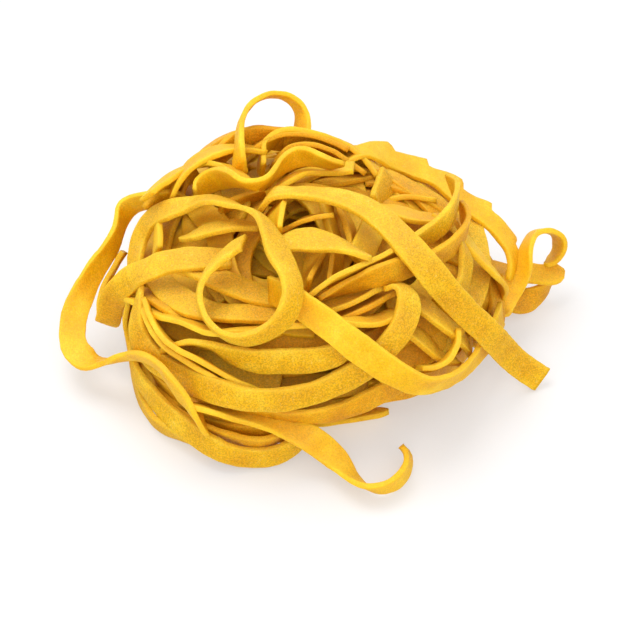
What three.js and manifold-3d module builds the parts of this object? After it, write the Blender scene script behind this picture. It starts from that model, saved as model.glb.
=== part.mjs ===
// A nest of dry egg ribbon pasta: one heap of coiled and straying ribbons, in millimetres, +Z up.
// The origin is the middle of the flat spot that the heap rests on, and +X runs along its longest side.
import * as THREE from 'three';
import { mergeVertices } from 'three/addons/utils/BufferGeometryUtils.js';
import Module from 'manifold-3d';

// Driving dimensions of the heap.
const NEST_RADIUS = 45;
const NEST_HEIGHT = 46;
const DOME_POWER = 2.5;
const BASE_RADIUS = 36;
const OUTLINE_SWELL = [
  { lobes: 2, depth: 0.035, turn: 0.6 },
  { lobes: 3, depth: 0.025, turn: 2.1 },
  { lobes: 7, depth: 0.012, turn: 0.9 },
];

// Driving dimensions of one ribbon.
const RIBBON_WIDTH = 6.6;
const RIBBON_THICKNESS = 1.5;
const COIL_THICKNESS = 4.5;
const STRAY_STEP = 4.5;
const COIL_STEP = 8;
const HUB_DEPTH = 30;

// Coils that wrap the sides, from the lowest to the highest, and smaller ones that lie on the crown.
const GIRDLE_COILS = 6;
const GIRDLE_LOW = 5;
const GIRDLE_HIGH = 38;
const GIRDLE_SWEEP = 5.2;
const GIRDLE_SLOPE = 3;
const CROWN_COILS = 4;
const CROWN_COIL_RADIUS = 17;
const CROWN_OFFSET = 11;
const CROWN_SWEEP = 4.4;
const GOLDEN_ANGLE = Math.PI * (3 - Math.sqrt(5));

// Ribbons that leave the heap: the middle line of each, and the lean of its face in degrees.
const STRAYS = {
  topLoop: {
    lean: -20,
    route: [[-16, 12, 38], [-16, 20, 47], [-15, 26, 53], [-9, 29, 55], [-4, 30, 52], [-2, 29, 45], [-2, 26, 38]],
  },
  leftLoop: {
    lean: -55,
    route: [[-34, 18, 33], [-44, 18, 26], [-53, 7, 19], [-58, -3, 13], [-55, -13, 9], [-45, -15, 8], [-36, -21, 11]],
  },
  lowLeftLoop: {
    lean: -35,
    route: [[-24, -15, 37], [-36, -12, 34], [-45, -8, 24], [-49, -4, 13], [-48, -1, 10], [-42, 2, 14]],
  },
  ring: {
    lean: -45,
    route: [[-12, -9, 44], [-6, -20, 47], [-3, -30, 42], [-9, -36, 36], [-19, -34, 33], [-24, -26, 36], [-20, -17, 42]],
  },
  longStraight: {
    lean: 35,
    route: [[-9, -5, 42], [-2, -5, 48], [8, -8, 50], [20, -18, 48], [33, -22, 34], [45, -14, 15], [58, -16, 2]],
  },
  frontDiagonal: {
    lean: -10,
    route: [[-6, -26, 36], [4, -34, 37], [14, -39, 32], [24, -38, 24], [34, -32, 18], [42, -20, 15]],
  },
  frontArc: {
    lean: 15,
    route: [[-39, -12, 24], [-39, -24, 18], [-26, -36, 20], [-4, -43, 22], [14, -39, 27], [23, -28, 33], [22, -20, 36]],
  },
  frontCurl: {
    lean: 25,
    route: [[-16, -35, 10], [-4, -37, 7], [4, -44, 5.5], [13, -52, 4], [21, -50, 4], [23, -44, 4.5], [21, -39, 5]],
  },
  rightLoop: {
    lean: 10,
    route: [[40, 2, 8], [49, 5, 11], [54, 13, 16], [59, 21, 18], [64, 20, 14], [61, 15, 10], [52, 14, 8], [42, 12, 7]],
  },
  rightEnd: {
    lean: 35,
    route: [[40, 10, 6], [50, 10, 4.5], [61, 13, 5]],
  },
  rearWave: {
    lean: 20,
    route: [[12, 22, 38], [24, 26, 36], [36, 22, 31], [47, 16, 25], [51, 9, 19], [46, 4, 12]],
  },
};

const wasm = await Module();
wasm.setup();

/** Radius of the dome at one bearing and at a share of its profile, from 0 at the top to 1 on the floor. */
function swellAt(bearing) {
  return OUTLINE_SWELL.reduce((sum, wave) => sum + wave.depth * Math.cos(wave.lobes * bearing + wave.turn), 1);
}

/** Radius of the plain dome at a height. */
function domeRadius(height) {
  return NEST_RADIUS * (1 - (height / NEST_HEIGHT) ** DOME_POWER) ** (1 / DOME_POWER);
}

/** Height of the plain dome at a distance from its axis. */
function domeHeight(distance) {
  return NEST_HEIGHT * (1 - Math.min(distance / NEST_RADIUS, 1) ** DOME_POWER) ** (1 / DOME_POWER);
}

/** A closed geometry as a solid that can be joined and cut. */
function toSolid(geometry) {
  geometry.deleteAttribute('normal');
  geometry.deleteAttribute('uv');
  const merged = mergeVertices(geometry, 1e-4);
  const mesh = new wasm.Mesh({
    numProp: 3,
    vertProperties: new Float32Array(merged.attributes.position.array),
    triVerts: new Uint32Array(merged.index.array),
  });
  return new wasm.Manifold(mesh);
}

/** The solid back as a geometry with flat faces. */
function toGeometry(solid) {
  const mesh = solid.getMesh();
  const geometry = new THREE.BufferGeometry();
  geometry.setAttribute('position', new THREE.BufferAttribute(mesh.vertProperties, 3));
  geometry.setIndex(new THREE.BufferAttribute(mesh.triVerts, 1));
  geometry.computeVertexNormals();
  return geometry;
}

/** The solid without the pockets that are sealed up between its coils. */
function fillPockets(solid) {
  return solid.decompose().reduce((kept, shell) => (shell.volume() > kept.volume() ? shell : kept));
}

/** The body of the heap: a sphere pressed into an uneven dome with a flat spot under it. */
function makeMound() {
  const geometry = new THREE.SphereGeometry(1, 36, 20);
  geometry.rotateX(Math.PI / 2);
  const position = geometry.attributes.position;
  const point = new THREE.Vector3();
  for (let i = 0; i < position.count; i += 1) {
    point.fromBufferAttribute(position, i);
    const bearing = Math.atan2(point.y, point.x);
    const spread = Math.hypot(point.x, point.y);
    const swell = swellAt(bearing);
    if (point.z > -0.55) {
      const rise = Math.max((point.z + 0.55) / 1.55, 0);
      const height = NEST_HEIGHT * rise ** 0.8;
      const flare = BASE_RADIUS / NEST_RADIUS + (1 - BASE_RADIUS / NEST_RADIUS) * Math.min(height / 9, 1) ** 0.5;
      const radius = spread < 1e-6 ? 0 : domeRadius(Math.min(height, NEST_HEIGHT * 0.9999)) * flare * swell;
      point.set(radius * Math.cos(bearing), radius * Math.sin(bearing), height);
    } else {
      const inward = BASE_RADIUS * swell * (spread / 0.84);
      point.set(inward * Math.cos(bearing), inward * Math.sin(bearing), 0);
    }
    position.setXYZ(i, point.x, point.y, point.z);
  }
  return toSolid(geometry);
}

/** A flat strip bent along a curve, its broad face turned away from a hub below the heap and then leaned. */
function makeRibbon(curve, thickness, stepLength, leanDegrees) {
  const steps = Math.round(curve.getLength() / stepLength);
  const geometry = new THREE.BoxGeometry(RIBBON_WIDTH, 1, thickness, 1, steps, 1);
  const position = geometry.attributes.position;
  const hub = new THREE.Vector3(0, 0, -HUB_DEPTH);
  const lean = THREE.MathUtils.degToRad(leanDegrees);
  const side = new THREE.Vector3();
  const face = new THREE.Vector3();
  for (let i = 0; i < position.count; i += 1) {
    const share = Math.round((position.getY(i) + 0.5) * steps) / steps;
    const centre = curve.getPointAt(share);
    const along = curve.getTangentAt(share);
    face.copy(centre).sub(hub).addScaledVector(along, -centre.clone().sub(hub).dot(along)).normalize();
    face.applyAxisAngle(along, lean);
    side.crossVectors(along, face);
    centre.addScaledVector(side, position.getX(i)).addScaledVector(face, position.getZ(i));
    position.setXYZ(i, centre.x, centre.y, centre.z);
  }
  return toSolid(geometry);
}

/** Route of a coil round the side, which climbs and dips a little as a wound ribbon does. */
function girdleRoute(index) {
  const height = THREE.MathUtils.lerp(GIRDLE_LOW, GIRDLE_HIGH, index / (GIRDLE_COILS - 1));
  const start = index * GOLDEN_ANGLE;
  const points = [];
  for (let i = 0; i <= 18; i += 1) {
    const bearing = start + (GIRDLE_SWEEP * i) / 18;
    const level = height + GIRDLE_SLOPE * Math.sin(bearing * 2 + index);
    const radius = domeRadius(Math.max(level, 1)) * swellAt(bearing) - 0.6;
    points.push(new THREE.Vector3(radius * Math.cos(bearing), radius * Math.sin(bearing), Math.max(level, 3.4)));
  }
  return new THREE.CatmullRomCurve3(points);
}

/** Route of a small coil that lies on the crown, off its middle. */
function crownRoute(index) {
  const away = index * GOLDEN_ANGLE;
  const points = [];
  for (let i = 0; i <= 14; i += 1) {
    const bearing = away + (CROWN_SWEEP * i) / 14;
    const x = CROWN_OFFSET * Math.cos(away) + CROWN_COIL_RADIUS * Math.cos(bearing);
    const y = CROWN_OFFSET * Math.sin(away) + CROWN_COIL_RADIUS * Math.sin(bearing);
    points.push(new THREE.Vector3(x, y, domeHeight(Math.hypot(x, y)) + 0.4 * index - 0.8));
  }
  return new THREE.CatmullRomCurve3(points);
}

/** The whole heap as one solid, cut off level with the surface that it rests on. */
function makeNest() {
  let solid = makeMound();
  for (let i = 0; i < GIRDLE_COILS; i += 1) {
    solid = solid.add(makeRibbon(girdleRoute(i), COIL_THICKNESS, COIL_STEP, 0));
  }
  for (let i = 0; i < CROWN_COILS; i += 1) {
    solid = solid.add(makeRibbon(crownRoute(i), COIL_THICKNESS, COIL_STEP, 0));
  }
  for (const stray of Object.values(STRAYS)) {
    const curve = new THREE.CatmullRomCurve3(stray.route.map(([x, y, z]) => new THREE.Vector3(x, y, z)));
    solid = solid.add(makeRibbon(curve, RIBBON_THICKNESS, STRAY_STEP, stray.lean));
  }
  const reach = 4 * NEST_RADIUS;
  const below = new THREE.BoxGeometry(reach, reach, NEST_RADIUS);
  below.translate(0, 0, -NEST_RADIUS / 2);
  return fillPockets(solid.subtract(toSolid(below)));
}

const dryPasta = new THREE.MeshStandardMaterial({ color: 0xefc043, roughness: 0.62, metalness: 0 });

const nest = new THREE.Mesh(toGeometry(makeNest()), dryPasta);
nest.name = 'pasta_nest';

const part = new THREE.Group();
part.name = 'dry_pasta_nest';
part.add(nest);

export default part;
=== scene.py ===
"""Dry pasta nest: a loose heap of golden egg ribbons, laid one by one over a small hidden core."""
import logging
import math
import random
from dataclasses import dataclass, field
from enum import Enum

import bmesh
import bpy
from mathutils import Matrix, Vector, noise
from mathutils.bvhtree import BVHTree

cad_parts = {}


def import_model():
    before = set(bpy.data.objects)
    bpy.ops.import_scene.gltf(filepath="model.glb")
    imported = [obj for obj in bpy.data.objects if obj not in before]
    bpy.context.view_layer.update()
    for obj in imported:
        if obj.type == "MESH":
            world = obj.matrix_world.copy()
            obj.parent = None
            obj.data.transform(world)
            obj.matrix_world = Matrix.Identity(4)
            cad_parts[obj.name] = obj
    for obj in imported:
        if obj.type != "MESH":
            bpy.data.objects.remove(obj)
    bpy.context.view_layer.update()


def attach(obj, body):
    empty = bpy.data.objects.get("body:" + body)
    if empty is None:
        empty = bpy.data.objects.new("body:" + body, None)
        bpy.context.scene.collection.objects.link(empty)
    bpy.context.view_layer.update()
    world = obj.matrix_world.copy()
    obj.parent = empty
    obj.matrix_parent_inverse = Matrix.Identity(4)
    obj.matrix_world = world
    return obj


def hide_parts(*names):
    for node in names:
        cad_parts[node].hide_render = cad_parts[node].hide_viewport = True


LOG = logging.getLogger("pasta_nest")
MM = 0.001
CAD_NODE = "pasta_nest"
BODY = "root"

# Ribbons turn their faces away from a point below the heap; a loop turns its own away from its middle.
NEST_HUB = (0.0, 0.0, -30.0)

# The side of the heap that is shown, as a direction from the heap: in front and well above.
SHOWN_SIDE = Vector((0.0, -0.743, 0.669))

# Sockets of a Mix node that mixes colours.
MIX_FACTOR = 0
MIX_FIRST = 6
MIX_SECOND = 7
MIX_RESULT = 2


def linear(hex_colour: str) -> tuple[float, float, float, float]:
    """Turn an sRGB hex colour into linear red, green, blue and full alpha.

    Args:
        hex_colour: six hex digits, with or without a leading #.

    Returns:
        The colour as a shader socket takes it.
    """
    digits = hex_colour.lstrip("#")
    channels = [int(digits[i:i + 2], 16) / 255.0 for i in (0, 2, 4)]
    bent = [c / 12.92 if c <= 0.04045 else ((c + 0.055) / 1.055) ** 2.4 for c in channels]
    return (bent[0], bent[1], bent[2], 1.0)


def per_metre(size_mm: float) -> float:
    """Texture scale that gives features of a real size in millimetres on Object coordinates."""
    return 1.0 / (size_mm * MM)


def add_node(tree: bpy.types.NodeTree, kind: str, settings: dict, links: dict) -> bpy.types.Node:
    """Add a shader node with its settings and incoming links.

    Args:
        tree: the material's node tree.
        kind: the node's type name, such as ShaderNodeTexNoise.
        settings: values by attribute name, or by input name or number where the node has no such attribute.
        links: output sockets, by the name or number of the input that each feeds.

    Returns:
        The new node.
    """
    node = tree.nodes.new(kind)
    for name, value in settings.items():
        if isinstance(name, str) and hasattr(node, name) and name not in node.inputs:
            setattr(node, name, value)
        else:
            node.inputs[name].default_value = value
    for name, socket in links.items():
        tree.links.new(socket, node.inputs[name])
    return node


def set_ramp(node: bpy.types.Node, stops: list[tuple[float, tuple]]) -> None:
    """Set a Color Ramp node's stops.

    Args:
        node: the Color Ramp node.
        stops: position and linear colour of each stop, in order; at least two.
    """
    elements = node.color_ramp.elements
    for element, (position, colour) in zip(elements, (stops[0], stops[-1])):
        element.position = position
        element.color = colour
    for position, colour in stops[1:-1]:
        elements.new(position).color = colour


class Cut(Enum):
    """How a ribbon left the cutter, which shows as its finish; the ochre dough is instead a darker copy,
    painted shade on the ribbons that lie in shade.
    """

    SMOOTH = "smooth"
    GRAINY = "grainy"
    # A darker copy of the dough: painted shade on the ribbons that lie in shade, and a deeper tone among the
    # inner coils.
    OCHRE_AND_SHADE = "ochre"


@dataclass(frozen=True)
class EggDough:
    """Dried egg-and-semolina dough, rolled and cut: matt, sandy and a little translucent at thin edges."""

    name: str
    body: str
    deep: str
    pale: str
    # The dust colour serves both the real flour specks and the painted highlight on faces that face up.
    dust_and_highlight: str
    grit: float
    roughness: float = 0.58
    roughness_swing: tuple[float, float] = (-0.1, 0.14)
    ior: float = 1.45
    specular: float = 0.28
    glow: float = 0.35
    glow_mm: float = 1.6
    glow_tint: tuple[float, float, float] = (1.0, 0.55, 0.12)
    patch_mm: float = 9.0
    patch_stops: tuple[float, float, float] = (0.3, 0.55, 0.75)
    grain_mm: float = 0.4
    grain_range: tuple[float, float] = (0.38, 0.64)
    grain_contrast: float = 0.5
    grain_height_mm: float = 0.22
    dent_mm: float = 2.6
    dent_depth_mm: float = 0.35
    speck_mm: float = 0.6
    speck_range: tuple[float, float] = (0.56, 0.72)
    speck_cover: float = 0.38
    # Painted highlight on faces that face up: how far they are mixed towards the dust colour, and from which
    # upward slant it starts.
    painted_top_highlight: float = 0.1
    top_highlight_from: float = 0.25
    # Painted highlight along the cut rims: where it starts across the ribbon and how pale it gets.
    rim_highlight_from: float = 0.55
    rim_highlight: float = 0.35

    def make(self) -> bpy.types.Material:
        """Make the dough's material.

        Returns:
            A material that reads Object coordinates and the ribbon's own `rim` attribute.
        """
        material = bpy.data.materials.new(self.name)
        material.use_nodes = True
        tree = material.node_tree
        tree.nodes.clear()
        where = add_node(tree, "ShaderNodeTexCoord", {}, {})
        place = {"Vector": where.outputs["Object"]}
        patch = add_node(
            tree, "ShaderNodeTexNoise",
            {"Scale": per_metre(self.patch_mm), "Detail": 3.0, "Roughness": 0.6}, place)
        grain = add_node(
            tree, "ShaderNodeTexNoise",
            {"Scale": per_metre(self.grain_mm), "Detail": 2.0, "Roughness": 0.7}, place)
        sandy = self.add_sand(tree, patch.outputs["Fac"], grain.outputs["Fac"])
        floured_and_lit = self.add_flour_and_highlight(tree, where, sandy)
        rim_lit = self.add_rim_highlight(tree, floured_and_lit)

        # Rolling leaves low dents, and the grains stand up from them.
        dents = add_node(
            tree, "ShaderNodeTexNoise",
            {"Scale": per_metre(self.dent_mm), "Detail": 2.0, "Roughness": 0.55}, place)
        dented = add_node(
            tree, "ShaderNodeBump", {"Strength": 0.5, "Distance": self.dent_depth_mm * MM},
            {"Height": dents.outputs["Fac"]})
        bumped = add_node(
            tree, "ShaderNodeBump",
            {"Strength": 0.3 + 0.55 * self.grit, "Distance": self.grain_height_mm * MM},
            {"Height": grain.outputs["Fac"], "Normal": dented.outputs["Normal"]})
        gloss = add_node(
            tree, "ShaderNodeMapRange",
            {"To Min": self.roughness + self.roughness_swing[0],
             "To Max": self.roughness + self.roughness_swing[1]},
            {"Value": patch.outputs["Fac"]})
        shader = add_node(
            tree, "ShaderNodeBsdfPrincipled",
            {"IOR": self.ior, "Specular IOR Level": self.specular, "Subsurface Weight": self.glow,
             "Subsurface Scale": self.glow_mm * MM, "Subsurface Radius": self.glow_tint},
            {"Base Color": rim_lit, "Roughness": gloss.outputs["Result"],
             "Normal": bumped.outputs["Normal"]})
        add_node(tree, "ShaderNodeOutputMaterial", {}, {"Surface": shader.outputs["BSDF"]})
        return material

    def add_sand(
            self, tree: bpy.types.NodeTree, patch: bpy.types.NodeSocket,
            grain: bpy.types.NodeSocket) -> bpy.types.NodeSocket:
        """Colour the dough in soft patches, broken up with grains, from noise as large as each."""
        # Egg yolk is never mixed in quite evenly: the dough runs from amber to pale yellow.
        tone = add_node(tree, "ShaderNodeValToRGB", {}, {"Fac": patch})
        set_ramp(tone, list(zip(self.patch_stops, map(linear, (self.deep, self.body, self.pale)))))

        # Semolina grains, about half a millimetre, show as sand just under the surface.
        sand = add_node(
            tree, "ShaderNodeMapRange",
            {"From Min": self.grain_range[0], "From Max": self.grain_range[1],
             "To Min": -0.5, "To Max": 0.5},
            {"Value": grain})
        brightness = add_node(
            tree, "ShaderNodeMath",
            {"operation": "MULTIPLY_ADD", 1: self.grain_contrast * self.grit, 2: 1.0},
            {0: sand.outputs["Result"]})
        sandy = add_node(
            tree, "ShaderNodeVectorMath", {"operation": "SCALE"},
            {0: tone.outputs["Color"], "Scale": brightness.outputs["Value"]})
        return sandy.outputs["Vector"]

    def add_flour_and_highlight(
            self, tree: bpy.types.NodeTree, where: bpy.types.Node,
            colour: bpy.types.NodeSocket) -> bpy.types.NodeSocket:
        """Dust a colour with flour specks, and paint a highlight on the faces that face up; both are placed
        by the Texture Coordinate node.
        """
        # Flour lies on the faces in small pale specks.
        specks = add_node(
            tree, "ShaderNodeTexNoise",
            {"Scale": per_metre(self.speck_mm), "Detail": 4.0, "Roughness": 0.75},
            {"Vector": where.outputs["Object"]})
        dusted = add_node(
            tree, "ShaderNodeMapRange",
            {"From Min": self.speck_range[0], "From Max": self.speck_range[1],
             "To Max": self.speck_cover * self.grit},
            {"Value": specks.outputs["Fac"]})

        # Painted highlight: the faces that face up are mixed towards the pale dust colour, as light from
        # above would make them look.
        facing = add_node(tree, "ShaderNodeSeparateXYZ", {}, {"Vector": where.outputs["Normal"]})
        top_highlight = add_node(
            tree, "ShaderNodeMapRange", {"From Min": self.top_highlight_from, "To Max": self.painted_top_highlight},
            {"Value": facing.outputs["Z"]})
        flour_and_highlight = add_node(
            tree, "ShaderNodeMath", {"operation": "ADD", "use_clamp": True},
            {0: dusted.outputs["Result"], 1: top_highlight.outputs["Result"]})
        floured_and_lit = add_node(
            tree, "ShaderNodeMix", {"data_type": "RGBA", MIX_SECOND: linear(self.dust_and_highlight)},
            {MIX_FACTOR: flour_and_highlight.outputs["Value"], MIX_FIRST: colour})
        return floured_and_lit.outputs[MIX_RESULT]

    def add_rim_highlight(self, tree: bpy.types.NodeTree, colour: bpy.types.NodeSocket) -> bpy.types.NodeSocket:
        """Paint a highlight on the cut rims: they are mixed a shade paler than the faces."""
        rim = add_node(tree, "ShaderNodeAttribute", {"attribute_name": "rim"}, {})
        amount = add_node(
            tree, "ShaderNodeMapRange", {"From Min": self.rim_highlight_from, "To Max": self.rim_highlight},
            {"Value": rim.outputs["Fac"]})
        rim_lit = add_node(
            tree, "ShaderNodeMix", {"data_type": "RGBA", MIX_SECOND: linear(self.pale)},
            {MIX_FACTOR: amount.outputs["Result"], MIX_FIRST: colour})
        return rim_lit.outputs[MIX_RESULT]


@dataclass(frozen=True)
class Ribbon:
    """One ribbon: its name, its middle line and lean in millimetres and degrees, and its finish."""

    name: str
    route: tuple[tuple[float, float, float, float], ...]
    cut: Cut = Cut.SMOOTH
    width: float = 6.4
    thickness: float = 1.3
    scallop: float = 0.0
    taper: tuple[float, float] = (0.0, 0.0)
    under: tuple[str, ...] = ()
    hub: tuple[float, float, float] = NEST_HUB


@dataclass(frozen=True)
class Line:
    """A ribbon's middle line, row by row: centres, and ways across and out of the face."""

    centres: list[Vector]
    across: list[Vector]
    face: list[Vector]


def blurred(values: list, reach: float) -> list:
    """Smooth a row of numbers or vectors with a bell-shaped weight, keeping both ends in place.

    Args:
        values: the numbers or vectors.
        reach: the bell's standard deviation, in rows.

    Returns:
        The smoothed values, as many as came in.
    """
    span = max(1, int(reach * 2.5))
    weights = [math.exp(-0.5 * (k / reach) ** 2) for k in range(-span, span + 1)]
    last = len(values) - 1
    smooth = []
    for i in range(len(values)):
        near = min(i, last - i, span)
        total = values[i] * 0.0
        mass = 0.0
        for k in range(-near, near + 1):
            weight = weights[k + span]
            total = total + values[i + k] * weight
            mass += weight
        smooth.append(total / mass)
    return smooth


@dataclass
class RibbonMaker:
    """Cuts straight strips of dough and bends them onto their routes; lengths are in millimetres."""

    row_step: float = 1.0
    columns: int = 4
    rim_round: float = 0.28
    rim_segments: int = 2
    curve_steps: int = 24
    fewest_rows: int = 8
    smoothing: float = 2.2
    lean_smoothing: float = 3.5
    lift_smoothing: float = 4.0
    floor_gap: float = 0.12
    half_slab: float = 0.75
    tip_share: float = 0.12
    tear_period: float = 9.5
    tear_start: float = 0.35
    tear_share: float = 0.1
    camber: float = 0.22
    width_sway: float = 0.07
    thickness_sway: float = 0.2
    rim_wander: float = 0.30
    rim_fray: float = 0.12
    ripple: float = 0.16

    def sample(self, ribbon: Ribbon) -> tuple[list[Vector], list[float]]:
        """Run a smooth curve through a ribbon's stations at even steps.

        Args:
            ribbon: the ribbon.

        Returns:
            The centres in millimetres, and the lean in degrees at each.
        """
        stations = [Vector(station) for station in ribbon.route]
        ends = [stations[0] * 2 - stations[1]] + stations + [stations[-1] * 2 - stations[-2]]
        dense = []
        for a, b, c, d in zip(ends, ends[1:], ends[2:], ends[3:]):
            for k in range(self.curve_steps):
                t = k / self.curve_steps
                dense.append(0.5 * (2 * b + (c - a) * t + (2 * a - 5 * b + 4 * c - d) * t * t
                                    + (3 * b - a - 3 * c + d) * t ** 3))
        dense.append(ends[-2])
        run = [0.0]
        for before, after in zip(dense, dense[1:]):
            run.append(run[-1] + (after.xyz - before.xyz).length)
        rows = max(self.fewest_rows, round(run[-1] / self.row_step))
        centres, leans, j = [], [], 0
        for i in range(rows + 1):
            goal = run[-1] * i / rows
            while j < len(run) - 2 and run[j + 1] < goal:
                j += 1
            share = (goal - run[j]) / max(run[j + 1] - run[j], 1e-9)
            point = dense[j].lerp(dense[j + 1], min(share, 1.0))
            centres.append(point.xyz)
            leans.append(point.w)
        return blurred(centres, self.smoothing), blurred(leans, self.lean_smoothing)

    def line(self, centres: list[Vector], leans: list[float], ribbon: Ribbon) -> Line:
        """Work out which way a ribbon faces along its middle line.

        Args:
            centres: the middle line, in millimetres.
            leans: how far the face leans over from straight away from the hub, in degrees.
            ribbon: the ribbon, for its hub and its width, which keeps it off the floor.

        Returns:
            The middle line with its frames.
        """
        hub = Vector(ribbon.hub)
        last = len(centres) - 1
        across, face = [], []
        for i, centre in enumerate(centres):
            ahead = (centres[min(i + 1, last)] - centres[max(i - 1, 0)]).normalized()
            out = centre - hub
            out = (out - ahead * out.dot(ahead)).normalized()
            side = ahead.cross(out)
            lean = math.radians(leans[i])
            normal = out * math.cos(lean) + side * math.sin(lean)
            face.append(normal)
            across.append(ahead.cross(normal))
        raised = []
        for centre, side, normal in zip(centres, across, face):
            low = centre.z - abs(side.z) * ribbon.width / 2 - abs(normal.z) * self.half_slab - self.floor_gap
            raised.append(max(-low, 0.0))
        raised = blurred(raised, self.lift_smoothing)
        centres = [centre + Vector((0, 0, lift)) for centre, lift in zip(centres, raised)]
        return Line(centres, across, face)

    def strip(self, ribbon: Ribbon, rows: int) -> bmesh.types.BMesh:
        """Cut a straight strip: x runs across it, y along it from 0 to 1, and z through it.

        Args:
            ribbon: the ribbon, for its width and thickness.
            rows: how many steps it has along it.

        Returns:
            The closed strip with rounded rims.
        """
        strip = bmesh.new()
        bmesh.ops.create_grid(strip, x_segments=self.columns, y_segments=rows, size=0.5)
        bmesh.ops.scale(strip, vec=(ribbon.width, 1.0, 1.0), verts=strip.verts)
        bmesh.ops.translate(strip, vec=(0.0, 0.5, -ribbon.thickness / 2), verts=strip.verts)
        raised = bmesh.ops.extrude_face_region(strip, geom=strip.faces[:], use_keep_orig=True)
        lifted = [piece for piece in raised["geom"] if isinstance(piece, bmesh.types.BMVert)]
        bmesh.ops.translate(strip, vec=(0.0, 0.0, ribbon.thickness), verts=lifted)
        bmesh.ops.recalc_face_normals(strip, faces=strip.faces)
        rims = [edge for edge in strip.edges if self.is_long_rim(edge, ribbon.width)]
        bmesh.ops.bevel(
            strip, geom=rims, offset=self.rim_round, offset_type="OFFSET", segments=self.rim_segments,
            profile=0.5, affect="EDGES", material=-1)
        return strip

    @staticmethod
    def is_long_rim(edge: bmesh.types.BMEdge, width: float) -> bool:
        """Say whether an edge runs along one of the strip's four long corners."""
        start, end = edge.verts[0].co, edge.verts[1].co
        on_rim = abs(abs(start.x) - width / 2) < 1e-4
        return on_rim and abs(start.x - end.x) < 1e-4 and abs(start.z - end.z) < 1e-4

    def pointed(self, distance: float, taper: float) -> float:
        """Share of the full width near an end that narrows to a rounded point over its taper."""
        share = min(distance / taper, 1.0) if taper > 0.0 else 1.0
        return max(math.sqrt(max(1.0 - (1.0 - share) ** 2, 0.0)), self.tip_share)

    def notch(self, distance: float) -> float:
        """Depth of a torn rim along the ribbon, from 0 to 1: a sharp tear, then a slow run out."""
        share = (distance / self.tear_period + self.tear_start) % 1.0
        return min(share / self.tear_share, (1.0 - share) / (1.0 - self.tear_share))

    def bend(self, ribbon: Ribbon, line: Line, seed: float) -> bmesh.types.BMesh:
        """Cut a ribbon's strip and bend it onto its middle line, uneven as dried dough is.

        Args:
            ribbon: the ribbon.
            line: its middle line with its frames.
            seed: where it reads the noise, so that no two ribbons match.

        Returns:
            The bent strip in millimetres, with each vertex's nearness to a rim in its `rim` layer.
        """
        rows = len(line.centres) - 1
        strip = self.strip(ribbon, rows)
        rim_layer = strip.verts.layers.float.new("rim")
        half = ribbon.width / 2
        camber = self.camber * math.sin(seed * 5.3)
        for vert in strip.verts:
            edge = vert.co.x / half
            bow = edge * edge
            place = min(max(vert.co.y, 0.0), 1.0) * rows
            row = min(int(place), rows - 1)
            share = place - row
            distance = place * self.row_step
            vert[rim_layer] = abs(edge)
            broad = noise.noise(Vector((distance * 0.06, seed, 1.5)))
            side = noise.noise(Vector((distance * 0.16, seed + 7.0, math.copysign(3.0, edge))))
            ragged = noise.noise(Vector((distance * 0.8, seed + 3.0, math.copysign(5.0, edge))))
            point = self.pointed(distance, ribbon.taper[0])
            point *= self.pointed(rows * self.row_step - distance, ribbon.taper[1])
            frayed = self.rim_wander * side + self.rim_fray * ragged
            x = vert.co.x * (1.0 + self.width_sway * broad) + math.copysign(bow, edge) * frayed
            z = vert.co.z * (1.0 + self.thickness_sway * side) + camber * edge * edge
            z += self.ripple * noise.noise(Vector((distance * 0.35, edge * 1.3, seed)))
            if edge * ribbon.scallop > 0.0:
                x -= ribbon.scallop * edge * edge * self.notch(distance)
            centre = line.centres[row].lerp(line.centres[row + 1], share)
            across = line.across[row].lerp(line.across[row + 1], share)
            face = line.face[row].lerp(line.face[row + 1], share)
            vert.co = centre + across * x * point + face * z
        bmesh.ops.recalc_face_normals(strip, faces=strip.faces)
        return strip


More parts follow.
